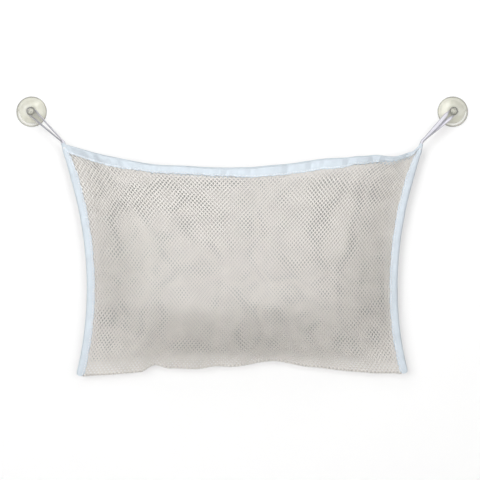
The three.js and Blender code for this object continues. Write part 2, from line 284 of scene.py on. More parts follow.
class NetCloth(bpy.types.PropertyGroup):
    """Knitted net and the way it gathers at its seams"""

    mesh_width: length("Mesh width", "Width of a hole from yarn to yarn", 0.0047)
    mesh_height: length("Mesh height", "Height of a hole from bar to bar", 0.0061)
    bar_length: length("Bar length", "Length over which two yarns run side by side", 0.0015)
    yarn_width: length("Yarn width", "Width of a yarn on the face of the net", 0.00112)
    yarn_thickness: length("Yarn thickness", "Thickness of a yarn through the net", 0.0004)
    top_clearance: length("Top clearance", "How far a net's edge lies below the bag's top line", 0.0021)
    pucker: length("Pucker", "Height of the gathers along the hem", 0.0016)
    pucker_reach: length("Pucker reach", "Distance over which the gathers fade away", 0.03)
    unevenness: length("Unevenness", "Height of the lumps in the filled bag", 0.0022)
    slackness: FloatProperty(
        name="Slackness", description="How unevenly the slack back net is drawn, as a share of its size",
        default=0.008, subtype="FACTOR", min=0.0, max=0.05,
    )
    yarn_colour: colour("Yarn colour", "Colour of the net", (0.885, 0.857, 0.817))


class TapeAndThread(bpy.types.PropertyGroup):
    """Folded tapes and the stitches that hold them"""

    hem_width: length("Hem width", "Width of the folded hem on each face", 0.011)
    binding_width: length("Binding width", "Width of the folded side binding on each face", 0.010)
    seam_depth: length("Seam depth", "How far the nets' edges go into the folded bindings", 0.0016)
    tape_thickness: length("Tape thickness", "Thickness of one layer of tape", 0.0006)
    hem_half: length("Hem half", "Distance of a hem's leaf from the middle of the net", 0.00105)
    binding_half: length("Binding half", "Distance of a binding's leaf from the middle of the edge", 0.0025)
    stitch_inset: length("Stitch inset", "Distance of a seam from the tape's edge", 0.0018)
    stitch_length: length("Stitch length", "Length of a stitch", 0.0025)
    stitch_pitch: length("Stitch pitch", "Distance from stitch to stitch", 0.0034)
    thread_width: length("Thread width", "Width of the sewing thread", 0.0009)
    tape_colour: colour("Tape colour", "Colour of the hems and bindings", (0.68, 0.755, 0.82))
    thread_colour: colour("Thread colour", "Colour of the stitches", (0.90, 0.90, 0.93))


class RibbonLoops(bpy.types.PropertyGroup):
    """Ribbon loops between the bag's corners and the cups"""

    ribbon_width: length("Ribbon width", "Width of the ribbon", 0.006)
    ribbon_thickness: length("Ribbon thickness", "Thickness of the ribbon", 0.0006)
    tail_depth: length("Tail depth", "How deep the tail goes into the binding", 0.009)
    tail_bend: length("Tail bend", "How softly the ribbon bends into the binding", 0.0007)
    ribbon_colour: colour("Ribbon colour", "Colour of the ribbon", (0.77, 0.76, 0.83))


class VinylCups(bpy.types.PropertyGroup):
    """Clear suction cups"""

    diameter: length("Diameter", "Diameter of the lip on the wall", CUP_HIGH.x - CUP_LOW.x)
    depth: length("Depth", "Distance from the wall to the tip of the head", CUP_HIGH.y - CUP_LOW.y)
    neck_diameter: length("Neck diameter", "Diameter of the neck that the ribbon goes round", 0.0065)
    head_diameter: length("Head diameter", "Diameter of the head that keeps the ribbon on", 0.011)
    vinyl_colour: colour("Vinyl colour", "Colour of the clear vinyl", (0.875, 0.87, 0.76))


class StudioStage(bpy.types.PropertyGroup):
    """Wall, floor, backdrop, lamps and camera"""

    floor_drop: length("Floor drop", "Height of the cups above the floor", 0.62)
    backdrop_radius: length("Backdrop radius", "Radius of the white backdrop all round", 5.0)
    camera_distance: length("Camera distance", "Distance of the camera from the wall", 3.0)
    camera_height: length("Camera height", "Height of the camera against the cups", -0.159)
    camera_side: length("Camera side", "Place of the camera to the right of the middle", -0.0027)
    view_width: length("View width", "Width of wall that the camera sees", 0.595)
    key_power: power("Key power", "Power of the main lamp", 56.0)
    fill_power: power("Fill power", "Power of the second lamp", 44.0)
    near_power: power("Near power", "Power of the small near lamp", 1.3)
    rear_power: power("Rear power", "Power of the lamp behind the wall", 15.0)
    ambient: FloatProperty(name="Ambient", description="Strength of the light from all sides", default=0.06)
    wall_colour: colour("Wall colour", "Colour of the wall that lights the bag", (0.42, 0.41, 0.40))
    floor_colour: colour("Floor colour", "Colour of the floor that lights the bag", (0.80, 0.79, 0.78))


class Socket:
    """An output in a material's nodes, which sums and products extend with Math nodes."""

    def __init__(self, tree, socket=None):
        self.tree = tree
        self.socket = socket

    def node(self, kind, settings=None, values=None, output=0):
        """Adds a node, sets it up, fills or links its inputs, and gives back one of its outputs."""
        made = self.tree.nodes.new(kind)
        for key, value in (settings or {}).items():
            if key == "stops":
                while len(made.color_ramp.elements) < len(value):
                    made.color_ramp.elements.new(1.0)
                for element, (place, tint) in zip(made.color_ramp.elements, value):
                    element.position = place
                    element.color = (*tint, 1.0)
            else:
                setattr(made, key, value)
        for key, value in (values or {}).items():
            if isinstance(value, Socket):
                self.tree.links.new(value.socket, made.inputs[key])
            else:
                made.inputs[key].default_value = value
        return Socket(self.tree, made.outputs[output] if made.outputs else None)

    def math(self, operation, first, second=0.0):
        return self.node("ShaderNodeMath", {"operation": operation}, {0: first, 1: second})

    def __add__(self, other):
        return self.math("ADD", self, other)

    def __radd__(self, other):
        return self.math("ADD", other, self)

    def __sub__(self, other):
        return self.math("SUBTRACT", self, other)

    def __rsub__(self, other):
        return self.math("SUBTRACT", other, self)

    def __mul__(self, other):
        return self.math("MULTIPLY", self, other)

    def __rmul__(self, other):
        return self.math("MULTIPLY", other, self)

    def sine(self):
        return self.math("SINE", self)

    def ripple(self):
        """Sine of this value, moved to lie between 0 and 1."""
        return self.sine() * 0.5 + 0.5

    def size(self):
        return self.math("ABSOLUTE", self)

    def step(self, low, high):
        """0 below low and 1 above high, with a smooth rise between them."""
        return self.node(
            "ShaderNodeMapRange", {"interpolation_type": "SMOOTHSTEP"}, {0: self, 1: low, 2: high}
        )

    def shades(self, tint, *stops):
        """Lighter and darker shades of a colour. Each stop gives a value and the shade's share there."""
        ramp = [(place, shaded(tint, share)) for place, share in stops]
        return self.node("ShaderNodeValToRGB", {"stops": ramp}, {0: self})


def shaded(tint, share):
    """A colour made lighter or darker by a share."""
    return tuple(min(1.0, max(0.0, part * share)) for part in tint)


def start_material(name):
    """A new material with empty nodes, and a socket to build them from."""
    material = bpy.data.materials.new(name)
    material.use_nodes = True
    material.node_tree.nodes.clear()
    return material, Socket(material.node_tree)


def finish_material(start, shader):
    start.node("ShaderNodeOutputMaterial", None, {0: shader})


def parts_of(start, vector):
    """The three parts of a vector."""
    split = start.node("ShaderNodeSeparateXYZ", None, {0: vector}).socket.node
    return [Socket(start.tree, part) for part in split.outputs]


def weave_places(start):
    """A piece's own coordinates, in millimetres. Those of cloth and thread run along and across it."""
    weave = start.node("ShaderNodeAttribute", {"attribute_name": "weave"}, None, "Vector")
    return [part * MILLIMETRES for part in parts_of(start, weave)]


def own_space(start):
    return start.node("ShaderNodeTexCoord", None, None, "Object")


def soft_noise(start, scale, detail=2.0):
    """Cloudy value between 0 and 1 in the piece's own space."""
    values = {"Vector": own_space(start), "Scale": scale, "Detail": detail}
    return start.node("ShaderNodeTexNoise", None, values)


def relief(start, height, distance):
    return start.node("ShaderNodeBump", None, {"Height": height, "Distance": distance, "Strength": 1.0})


def seen_rays(start, *kinds):
    """1 for rays of any of the named kinds, 0 for the rest."""
    path = start.node("ShaderNodeLightPath").socket.node
    rays = [Socket(start.tree, path.outputs[kind]) for kind in kinds]
    return sum(rays[1:], rays[0]).step(0.0, 1.0)


def mixed(start, share, first, second):
    """A colour between two others. The Mix node has its colours at inputs 6 and 7 and output 2."""
    return start.node("ShaderNodeMix", {"data_type": "RGBA"}, {0: share, 6: first, 7: second}, 2)


def finish_cloth(start, base, roughness, normal, sheen, sheen_roughness, specular):
    finish_material(start, start.node("ShaderNodeBsdfPrincipled", None, {
        "Base Color": base,
        "Roughness": roughness,
        "Normal": normal,
        "Sheen Weight": sheen,
        "Sheen Roughness": sheen_roughness,
        "Specular IOR Level": specular,
    }))


def net_material(net):
    """White knitted polyester yarn: twisted filaments, a little fuzz and slight soiling."""
    material, start = start_material("knitted_net")
    along, across, _ = weave_places(start)
    twist = (along * 7.5 + across * 5.0).ripple()
    cloud = soft_noise(start, 55.0, 3.0)
    fuzz = soft_noise(start, 2600.0)
    tone = twist * 0.35 + cloud * 0.65
    finish_cloth(
        start,
        base=tone.shades(net.yarn_colour, (0.25, 0.90), (0.55, 1.0), (0.8, 1.05)),
        roughness=0.62 + fuzz * 0.2,
        normal=relief(start, twist * 0.8 + fuzz * 0.2, 0.00008),
        sheen=0.25, sheen_roughness=0.5, specular=0.35,
    )
    return material


def tape_material(tape):
    """Cool white woven tape: fine ribs across it, threads along it and a slight clouding."""
    material, start = start_material("woven_tape")
    along, across, _ = weave_places(start)
    ribs = (along * 7.4).ripple()
    warp = (across * 11.0 + (along * 3.7).sine() * 1.4).ripple()
    cloud = soft_noise(start, 70.0, 3.0)
    fibre = soft_noise(start, 3200.0)
    weave = ribs * 0.6 + warp * 0.4
    tone = weave * 0.3 + cloud * 0.7
    finish_cloth(
        start,
        base=tone.shades(tape.tape_colour, (0.25, 0.90), (0.5, 1.0), (0.78, 1.07)),
        roughness=0.58 + fibre * 0.18,
        normal=relief(start, weave * 0.8 + fibre * 0.2, 0.00012),
        sheen=0.2, sheen_roughness=0.45, specular=0.4,
    )
    return material


def ribbon_material(loops):
    """White ribbon with a slight lavender tint: satin face, fine ribs and raised corded edges, with painted
    shade darkening both edges.
    """
    material, start = start_material("white_ribbon")
    along, across, _ = weave_places(start)
    ribs = (along * 9.0).ripple()
    width = loops.ribbon_width * MILLIMETRES
    # Painted shade: this mask darkens the ribbon towards both edges. Its relief also raises the edges a
    # little.
    edge = across.size().step(width * 0.34, width * 0.43)
    cloud = soft_noise(start, 90.0, 3.0)
    fibre = soft_noise(start, 3000.0)
    # The face is a little lighter away from the edges, part of the same painted shade.
    tone = ribs * 0.25 + cloud * 0.6 + 0.15 * (1 - edge)
    face = tone.shades(loops.ribbon_colour, (0.25, 0.92), (0.55, 1.0), (0.8, 1.06))
    finish_cloth(
        start,
        # At the edges the colour turns to a darker shade of the ribbon: painted shade.
        base=mixed(start, edge * 0.75, face, (*shaded(loops.ribbon_colour, 0.42), 1.0)),
        roughness=0.42 + fibre * 0.2,
        normal=relief(start, ribs * 0.7 + edge * 0.6 + fibre * 0.2, 0.0001),
        sheen=0.3, sheen_roughness=0.4, specular=0.45,
    )
    return material


def thread_material(tape):
    """White polyester sewing thread: two twisted plies with a faint sheen."""
    material, start = start_material("sewing_thread")
    along, across, _ = weave_places(start)
    plies = (along * 10.0 + across * 9.0).ripple()
    cloud = soft_noise(start, 120.0)
    tone = plies * 0.6 + cloud * 0.4
    finish_cloth(
        start,
        base=tone.shades(tape.thread_colour, (0.2, 0.86), (0.7, 1.0)),
        roughness=0.5 + cloud * 0.15,
        normal=relief(start, plies, 0.0001),
        sheen=0.2, sheen_roughness=0.5, specular=0.45,
    )
    return material


def vinyl_material(cups):
    """Clear soft vinyl, faintly cream: glossy and slightly cloudy, with painted shade at the rim, neck, head
    and outer upper side, a lighter thin lip that is partly painted light, and a clearer crescent of painted
    light.
    """
    material, start = start_material("clear_vinyl")
    cloud = soft_noise(start, 140.0, 3.0)
    marks = soft_noise(start, 900.0)
    radius, out, low = weave_places(start)
    width = cups.diameter * MILLIMETRES
    head_width = cups.head_diameter * MILLIMETRES
    # Painted shade: a darker outline where the bell is seen edge on.
    rim = radius.step(width * 0.45, width * 0.492)
    # A lighter, clearer ring where the vinyl is thin: partly the thin vinyl, partly painted light.
    lip = 1 - (radius - width * 0.415).size().step(0.5, 2.2)
    # Painted light: a clearer patch on the lip's lower outer side, for light focused through the bell.
    crescent = lip * low.step(width * 0.12, width * 0.33)
    crown = CUP_CROWN * MILLIMETRES
    head_base = (cups.depth - CUP_HEAD) * MILLIMETRES
    head = out.step(head_base - 0.5, head_base + 0.5)
    # Painted shade round the neck and on the head, darker at the head's edge and mottled.
    neck = out.step(crown - 0.5, crown + 1.0) * (1 - head)
    edge = radius.step(head_width * 0.23, head_width * 0.44)
    knob = head * (0.2 + edge * 0.4 + soft_noise(start, 420.0).step(0.38, 0.62) * 0.4)
    x, _, z = parts_of(start, own_space(start))
    # Painted shade: each cup is darker on its outer upper side.
    shade = (x.size() - NECK.x + z * 0.8).step(-0.006, 0.016)
    # Darkness of the vinyl: painted shade of the rim, neck, head and outer side, with random cloudiness and
    # the lighter lip.
    shade_and_cloud = rim * 0.65 + neck * 0.8 + knob + (1 - cloud) * 0.35 + shade * 0.22 - lip * 0.25
    finish_material(start, start.node("ShaderNodeBsdfPrincipled", None, {
        "Base Color": shade_and_cloud.shades(cups.vinyl_colour, (0.05, 1.05), (0.25, 1.0), (0.5, 0.7), (0.95, 0.3)),
        "Roughness": 0.05 + marks * 0.08,
        "Normal": relief(start, cloud, 0.0002),
        "IOR": 1.5,
        "Transmission Weight": 0.35,
        "Alpha": 0.72 - crescent * 0.45 - lip * 0.1,
        "Coat Weight": 0.6,
        "Coat Roughness": 0.04,
    }))
    return material


def wave(place, name):
    """A named uneven ripple between -1 and 1, as the mean of its sines."""
    terms = RIPPLES[name]
    return sum(np.sin(2 * math.pi * turns * place + phase) for turns, phase in terms) / len(terms)


def smooth(share):
    share = np.clip(share, 0, 1)
    return share * share * (3 - 2 * share)


def eased(place, points):
    """Value at a place between points that give place and value, with a level turn at each of them."""
    places, values = np.array(points).T
    after = np.clip(np.searchsorted(places, place), 1, len(places) - 1)
    share = smooth((place - places[after - 1]) / (places[after] - places[after - 1]))
    return values[after - 1] + (values[after] - values[after - 1]) * share


def unit(vectors):
    return vectors / np.linalg.norm(vectors, axis=-1, keepdims=True)


def side_edge(shape, v, inset):
    """Half width and height of the bag's side edge at height share v, moved inwards by inset."""
    foot = -(shape.drop + shape.height)
    waist = foot + shape.waist_height
    z = foot + shape.height * v
    upper = z > waist
    end = np.where(upper, -shape.drop, foot)
    flare = (np.where(upper, shape.top_width, shape.foot_width) - shape.waist_width) / 2
    share = (z - waist) / (end - waist)
    slope = 2 * flare * share / (end - waist)
    slant = np.hypot(1, slope)
    return shape.waist_width / 2 + flare * share**2 - inset / slant, z + inset * slope / slant


def swell(shape, across, v, belly, mouth):
    """How far a panel swells: nothing at the sides and the fold, belly deep at its fullest."""
    fullest = shape.belly_height / shape.height
    sideways = (1 - across**SWELL_ACROSS) ** SWELL_MEETING
    rise = np.sin(math.pi / 2 * np.clip(v / fullest, 0, 1)) ** SWELL_RISE
    above = (1 + np.cos(math.pi * (v - fullest) / (1 - fullest))) / 2
    return sideways * np.where(v < fullest, belly * rise, mouth + (belly - mouth) * above)


def settled(shape, u, v):
    """How far the cloth lies above its even shape near the bottom fold and the top edge."""
    fold = eased(u, FOLD_LINE) * np.exp(-v * shape.height / FOLD_REACH)
    return fold + eased(u, HEM_LINE) * np.exp((v - 1) * shape.height / HEM_REACH)


def drawn_in(v):
    """How far a side binding is gathered together at height share v, up to 1 at the bag's top corner."""
    return sum(share * smooth((v - start) / rise) for share, start, rise in BINDING_GATHERS)


def net_inset(tape, v):
    """Distance of a net's edge from the bag's side edge. It is a little way inside the folded binding, each
    edge of which takes half of the narrowing where it is gathered."""
    return tape.binding_width * (1 - TOP_NARROWING / 2 * drawn_in(v)) - tape.seam_depth


def panel(shape, tape, u, v, face):
    """Points of the front or back net. u runs from binding to binding, v from the fold to the top.
    v below 0 goes round the bottom fold, towards the front."""
    u, v = np.broadcast_arrays(np.asarray(u, float), np.asarray(v, float))
    across = np.minimum(np.abs(u), 1)
    up = np.maximum(v, 0)
    half_width, z = side_edge(shape, up, net_inset(tape, up))
    sag, belly, mouth = (
        (shape.front_sag, shape.belly_depth, shape.mouth_depth) if face == FRONT
        else (shape.back_sag, shape.back_bulge, shape.back_mouth_bulge)
    )
    z = z + (1 - across**2) * (shape.bottom_arch - (sag + shape.bottom_arch) * up)
    z = z + settled(shape, u, up)
    y = face * (shape.panel_pitch / 2 + swell(shape, across, up, belly, mouth)) - shape.hang_depth
    turn = math.pi * np.maximum(-v, 0)
    y = y - shape.panel_pitch / 2 * (1 - np.cos(turn))
    z = z - shape.panel_pitch / 2 * np.sin(turn)
    return np.stack([u * half_width, y, z], axis=-1)


def pucker(shape, net, u, v):
    """How far the cloth stands proud where seams gather it and where the filled bag is uneven."""
    from_hem = np.clip(1 - v, 0, 1) * shape.height
    from_fold = np.clip(v, 0, 1) * shape.height
    from_binding = np.clip(1 - np.abs(u), 0, 1) * shape.waist_width / 2
    hem = net.pucker * np.exp(-from_hem / net.pucker_reach) * wave(u, "hem_gathers")
    fold = FOLD_GATHER * net.pucker * np.exp(-from_fold / net.pucker_reach) * wave(u, "fold_gathers")
    fading = np.exp(-from_binding / net.pucker_reach)
    sides = SIDE_GATHER * net.pucker * fading * wave(v + SIDE_SLANT * u, "side_gathers")
    lumps = net.unevenness * smooth(v / LUMPS_START)
    for across, up, phase in LUMPS:
        lumps = lumps * np.sin(across * u + up * v + phase)
    return (hem + fold + sides + lumps) * smooth(from_binding / FLAT_EDGE)


def cloth(shape, net, tape, u, v, face):
    """Points of the gathered net, its normals towards the front, and its length for a full height share."""
    step = 1e-4
    along_u = panel(shape, tape, u + step, v, face) - panel(shape, tape, u - step, v, face)
    along_v = panel(shape, tape, u, v + step, face) - panel(shape, tape, u, v - step, face)
    normal = unit(np.cross(along_u, along_v))
    height = np.linalg.norm(along_v, axis=-1) / (2 * step)
    u, v = np.broadcast_arrays(np.asarray(u, float), np.asarray(v, float))
    raised = pucker(shape, net, u, np.maximum(v, 0)) * np.cos(math.pi * np.maximum(-v, 0))
    return panel(shape, tape, u, v, face) + normal * raised[..., None], normal, height


def hem_cloth(shape, net, tape, u, below, offset, face):
    """Points of a net at a distance below the bag's top line, raised off its front side by offset."""
    height = cloth(shape, net, tape, u, np.ones(()), face)[2]
    point, normal, _ = cloth(shape, net, tape, u, 1 - below / height, face)
    return point + normal * np.broadcast_to(offset, normal.shape[:-1])[..., None]


def length_along(path):
    """Length from the start of a path to each of its points."""
    return np.concatenate([[0.0], np.cumsum(np.linalg.norm(np.diff(path, axis=0), axis=-1))])


def grid_quads(rows, columns, closed=False):
    """Corner numbers of the quads of a grid of points, closed round its columns if asked."""
    corner = np.arange(rows * columns).reshape(rows, columns)
    right = np.roll(corner, -1, axis=1) if closed else corner[:, 1:]
    left = corner if closed else corner[:, :-1]
    return np.stack([left[:-1], right[:-1], right[1:], left[1:]], axis=-1).reshape(-1, 4)


def pick(piece):
    """Selects one piece and nothing else."""
    bpy.ops.object.select_all(action="DESELECT")
    piece.select_set(True)
    bpy.context.view_layer.objects.active = piece


def write_weave(mesh, weave):
    """Keeps a piece's own coordinates, in metres, where its material finds them."""
    layer = mesh.attributes.new("weave", "FLOAT_VECTOR", "POINT")
    layer.data.foreach_set("vector", np.ascontiguousarray(weave, np.float32).ravel())


def weave_grid(points, along, across):
    """Coordinates along and across a cloth for each of its points."""
    weave = np.zeros(points.shape)
    weave[..., 0] = along
    weave[..., 1] = across
    return weave


def new_piece(name, points, faces, weave, material):
    """A smooth piece from its points, its faces and its own coordinates."""
    mesh = bpy.data.meshes.new(name)
    mesh.from_pydata(points.reshape(-1, 3).tolist(), [], faces)
    write_weave(mesh, weave)
    mesh.materials.append(material)
    piece = bpy.data.objects.new(name, mesh)
    bpy.context.collection.objects.link(piece)
    pick(piece)
    bpy.ops.object.shade_smooth()
    return piece


def thicken(piece, thickness):
    """Gives a sheet its thickness, with crisp cut edges."""
    pick(piece)
    bpy.ops.object.modifier_add(type="SOLIDIFY")
    solid = piece.modifiers[-1]
    solid.thickness = thickness
    solid.offset = 0.0
    bpy.ops.object.modifier_apply(modifier=solid.name)
    bpy.ops.object.shade_smooth_by_angle(angle=CREASE_ANGLE)


def material_named(name, make, settings):
    """The material of that name, made the first time that it is asked for."""
    return bpy.data.materials.get(name) or make(settings)


def blend_half(piece):
    """Bakes the place of a half of the front into its points."""
    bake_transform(piece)


def slack(net, u, v):
    """Places in a net that hangs slack between its seams, so that its meshes are drawn uneven."""
    from_ends = smooth(v / SLACK_END) * smooth((1 - v) / SLACK_END)
    loose = net.slackness * smooth((1 - np.abs(u)) / SLACK_SIDE) * from_ends
    aside = loose * wave(v + ASIDE_SLANT * u, "aside_upwards") + loose * wave(u, "aside_across")
    lift = loose * wave(u + LIFT_SLANT * v, "lift_across") + loose * wave(v, "lift_upwards")
    return u + aside, v + lift


def net_half(scene, name, face, side):
    """Half of a net: yarns that zigzag up the cloth and run beside each neighbour in turn."""
    shape, net, tape = scene.bag_shape, scene.net_cloth, scene.tape_and_thread
    fold = math.pi * shape.panel_pitch / 2 if face == BACK else 0.0
    columns = round((shape.waist_width + shape.foot_width) / 2 / net.mesh_width / 2)
    bars = round(2 * (shape.height + fold) / net.mesh_height)
    yarn = np.arange(2 * columns)
    bar = np.arange(bars)
    middle = (bar + 0.5) / bars * (shape.height + fold) - fold
    half_bar = net.bar_length / 2
    climb = np.stack([middle - half_bar, middle + half_bar], axis=-1).ravel()
    climb[0], climb[-1] = -fold, shape.height - net.top_clearance
    v = np.where(climb < 0, climb / max(fold, 1e-9), climb / shape.height)
    lean = np.where((yarn[:, None] + bar[None, :]) % 2, -1, 1).repeat(2, axis=1)
    reach = 0.25 - net.yarn_width / net.mesh_width / 2
    u = ((yarn[:, None] + 0.5) / 2 + lean * reach) / columns
    u = u if side > 0 else u - 1
    u, v = slack(net, u, v[None, :]) if face == BACK else (u, v[None, :])
    point, normal, _ = cloth(shape, net, tape, u, v, face)
    along = unit(np.gradient(point, axis=1))
    across = unit(np.cross(along, normal))
    out = np.cross(across, along)
    half_width, half_depth = across * net.yarn_width / 2, out * net.yarn_thickness / 2
    ring = np.stack([
        half_width + half_depth, half_depth - half_width, -half_width - half_depth, half_width - half_depth,
    ], axis=2)
    corners = point[:, :, None, :] + ring
    steps = np.linalg.norm(np.diff(point, axis=1), axis=-1)
    run = np.concatenate([np.zeros((len(yarn), 1)), np.cumsum(steps, axis=1)], axis=1)
    weave = weave_grid(corners, run[:, :, None], np.array([0.5, -0.5, -0.5, 0.5]) * net.yarn_width)
    count = 4 * len(climb)
    tube = grid_quads(len(climb), 4, closed=True)
    ends = np.array([[3, 2, 1, 0], [count - 4, count - 3, count - 2, count - 1]])
    quads = (np.concatenate([tube, ends])[None] + (yarn * count)[:, None, None])[..., ::-1]
    yarns = material_named("knitted_net", net_material, net)
    piece = new_piece(name, corners, quads.reshape(-1, 4).tolist(), weave, yarns)
    bpy.ops.object.shade_smooth_by_angle(angle=CREASE_ANGLE)
    return piece


class BATHBAG_OT_front_net(bpy.types.Operator):
    """Knit the front net in two halves"""

    bl_idname = "bathbag.front_net"
    bl_label = "Front net"

    def execute(self, context):
        for name, side in SIDES:
            piece = net_half(context.scene, f"front_net_{name}_half", FRONT, side)
            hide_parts("front_net")
            blend_half(piece)
        return {"FINISHED"}


class BATHBAG_OT_back_net(bpy.types.Operator):
    """Knit the back net with the bottom fold"""

    bl_idname = "bathbag.back_net"
    bl_label = "Back net"

    def execute(self, context):
        for name, side in SIDES:
            piece = net_half(context.scene, f"back_net_{name}_half", BACK, side)
            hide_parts("back_net")
            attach(piece, "bag")
        return {"FINISHED"}


def tape_piece(tape, name, points, quads, run, section):
    """A folded tape, with its lengths along and across it."""
    weave = weave_grid(points, run[:, None], section[None, :])
    woven = material_named("woven_tape", tape_material, tape)
    piece = new_piece(name, points, quads.tolist(), weave, woven)
    thicken(piece, tape.tape_thickness)
    return piece


def hem_roll(u, face):
    """Width of a hem's outer leaf against its usual width."""
    return eased(u, HEM_ROLL) if face == FRONT else np.ones_like(u)


def hem_piece(scene, name, face, start, end):
    """Stretch of tape folded over the top edge of a net, drawn in a little by its stitches."""
    shape, net, tape = scene.bag_shape, scene.net_cloth, scene.tape_and_thread
    half, width = tape.hem_half, tape.hem_width
    seam = width - tape.stitch_inset
    leaf = np.concatenate([
        np.linspace(width, seam, LIP_POINTS)[:-1], np.linspace(seam, half, LEAF_POINTS),
    ])
    turn = np.linspace(0, math.pi, TURN_POINTS)[1:-1]
    below = np.concatenate([leaf, HEM_FOLD_DROP + half - half * np.sin(turn), leaf[::-1]])
    outer = np.concatenate([np.ones(len(leaf)), np.cos(turn), -np.ones(len(leaf))])
    u = np.linspace(start, end, round(abs(end - start) * HEM_POINTS) + 1)[:, None]
    depth = np.clip(below / width, 0, 1)[None, :]
    roll = 1 + (hem_roll(u, face) - 1) * (outer > 0) * depth
    wander = HEM_WANDER * wave(u, "hem_wander") * depth
    lip = smooth((below - seam) / (width - seam))
    flutter = LIP_FLUTTER * lip * (0.5 + 0.5 * wave(u, "hem_flutter"))
    pulled = STITCH_PULL * np.exp(-((below - seam) / STITCH_PULL_REACH) ** 2)
    tuck = 1 - HEM_TUCK * smooth((np.abs(u) - HEM_TUCK_START) / (1 - HEM_TUCK_START))
    offset = outer * (half + flutter - pulled) * tuck
    points = hem_cloth(shape, net, tape, u, below[None, :] * (roll + wander), offset, face)
    run = length_along(points[:, len(below) // 2])
    section = length_along(np.stack([below, half * outer], axis=-1))
    return tape_piece(tape, name, points, grid_quads(*points.shape[:2]), run, section)


class BATHBAG_OT_hem_tapes(bpy.types.Operator):
    """Fold the hem tapes over the top edges of the nets"""

    bl_idname = "bathbag.hem_tapes"
    bl_label = "Hem tapes"

    def execute(self, context):
        scene = context.scene
        for name, side in SIDES:
            ends = sorted((0.0, side * HEM_END))
            piece = hem_piece(scene, f"front_hem_{name}_half", FRONT, *ends)
            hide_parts("front_hem_tape")
            blend_half(piece)
        piece = hem_piece(scene, "back_hem", BACK, -HEM_END, HEM_END)
        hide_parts("back_hem_tape")
        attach(piece, "bag")
        return {"FINISHED"}


def binding_cloth(shape, tape, side, v, inset, depth):
    """Points of a side binding, gathered together at the bag's top corner and pinched at its rounded foot."""
    gather = drawn_in(v)
    foot = 1 - smooth((v - BINDING_ENDS[0]) / FOOT_LENGTH)
    aside = 2 * inset / tape.binding_width - 1
    narrowed = 1 - TOP_NARROWING * gather - FOOT_NARROWING * foot
    x, z = side_edge(shape, v, tape.binding_width / 2 * (1 + aside * narrowed))
    z = z + settled(shape, float(side), v) + FOOT_ROUNDING * foot**2 * aside**2
    y = depth * (1 - TOP_FLATTENING * gather - FOOT_FLATTENING * foot) - shape.hang_depth
    return np.stack(np.broadcast_arrays(side * x, y, z), axis=-1)


def binding_piece(scene, name, side):
    """Tape folded over one side edge of both nets."""
    shape, tape = scene.bag_shape, scene.tape_and_thread
    share, depth = np.array(BINDING_SECTION).T
    share = np.concatenate([share, share[::-1]])[None, :]
    depth = np.concatenate([-depth, depth[::-1]])[None, :] * tape.binding_half
    inset = share * tape.binding_width
    v = np.linspace(*BINDING_ENDS, BINDING_ROWS)[:, None]
    crease = BINDING_CREASE * (1 + CORNER_CREASE * smooth((v - CORNER_CREASE_START) / CORNER_CREASE_RISE))
    wander = 1 + crease * wave(v, "binding_wander") * share
    flutter = 1 + crease * wave(v, "binding_flutter") * share
    points = binding_cloth(shape, tape, side, v, inset * wander, depth * flutter)
    ear = BINDING_EARS[side] * np.exp(-((v - EAR_HEIGHT) / EAR_REACH) ** 2)
    points[..., 0] += side * ear * (1 - share) ** 2
    run = length_along(points[:, len(BINDING_SECTION) - 1])
    section = length_along(points[SECTION_ROW])
    quads = grid_quads(*points.shape[:2])
    quads = quads if side > 0 else quads[:, ::-1]
    return tape_piece(tape, name, points, quads, run, section)


class BATHBAG_OT_side_bindings(bpy.types.Operator):
    """Fold the side bindings over the edges of both nets"""

    bl_idname = "bathbag.side_bindings"
    bl_label = "Side bindings"

    def execute(self, context):
        for name, side in SIDES:
            piece = binding_piece(context.scene, f"{name}_binding", side)
            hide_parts(f"{name}_side_binding")
            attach(piece, "bag")
        return {"FINISHED"}


def stitch_form(tape):
    """One stitch, with its ends drawn down into the cloth: its points and its faces."""
    bpy.ops.object.select_all(action="DESELECT")
    bpy.ops.mesh.primitive_uv_sphere_add(segments=8, ring_count=6, radius=1.0, rotation=(0, math.pi / 2, 0))
    stitch = bpy.context.object
    bpy.ops.object.transform_apply(rotation=True)
    bpy.ops.object.mode_set(mode="EDIT")
    bpy.ops.mesh.select_all(action="SELECT")
    bpy.ops.transform.resize(
        value=(tape.stitch_length / 2, tape.thread_width / 2, tape.thread_width * STITCH_HALF_HEIGHT),
        center_override=(0, 0, 0),
    )
    bpy.ops.mesh.select_all(action="DESELECT")
    bpy.ops.object.mode_set(mode="OBJECT")
    for vertex in stitch.data.vertices:
        vertex.select = abs(vertex.co.x) > tape.stitch_length * STITCH_END
    bpy.ops.object.mode_set(mode="EDIT")
    bpy.ops.transform.translate(value=(0, 0, -tape.thread_width * STITCH_END_DROP))
    bpy.ops.mesh.select_all(action="SELECT")
    bpy.ops.mesh.normals_make_consistent(inside=False)
    bpy.ops.mesh.tris_convert_to_quads()
    bpy.ops.object.mode_set(mode="OBJECT")
    points = np.array([vertex.co for vertex in stitch.data.vertices])
    faces = [tuple(polygon.vertices) for polygon in stitch.data.polygons]
    bpy.data.objects.remove(stitch, do_unlink=True)
    return points, faces


def seam_piece(scene, name, stitches):
    """Copies of one stitch, each with its place, its direction along the seam and the way it faces."""
    tape = scene.tape_and_thread
    form, faces = stitch_form(tape)
    place, along, out = (np.asarray(part) for part in stitches)
    along = unit(along)
    across = unit(np.cross(out, along))
    out = np.cross(along, across)
    points = (
        place[:, None] + along[:, None] * form[None, :, :1]
        + across[:, None] * form[None, :, 1:2] + out[:, None] * form[None, :, 2:]
    )
    copies = [
        tuple(corner + number * len(form) for corner in face)
        for number in range(len(place)) for face in faces
    ]
    thread = material_named("sewing_thread", thread_material, tape)
    return new_piece(name, points, copies, np.tile(form, (len(place), 1)), thread)


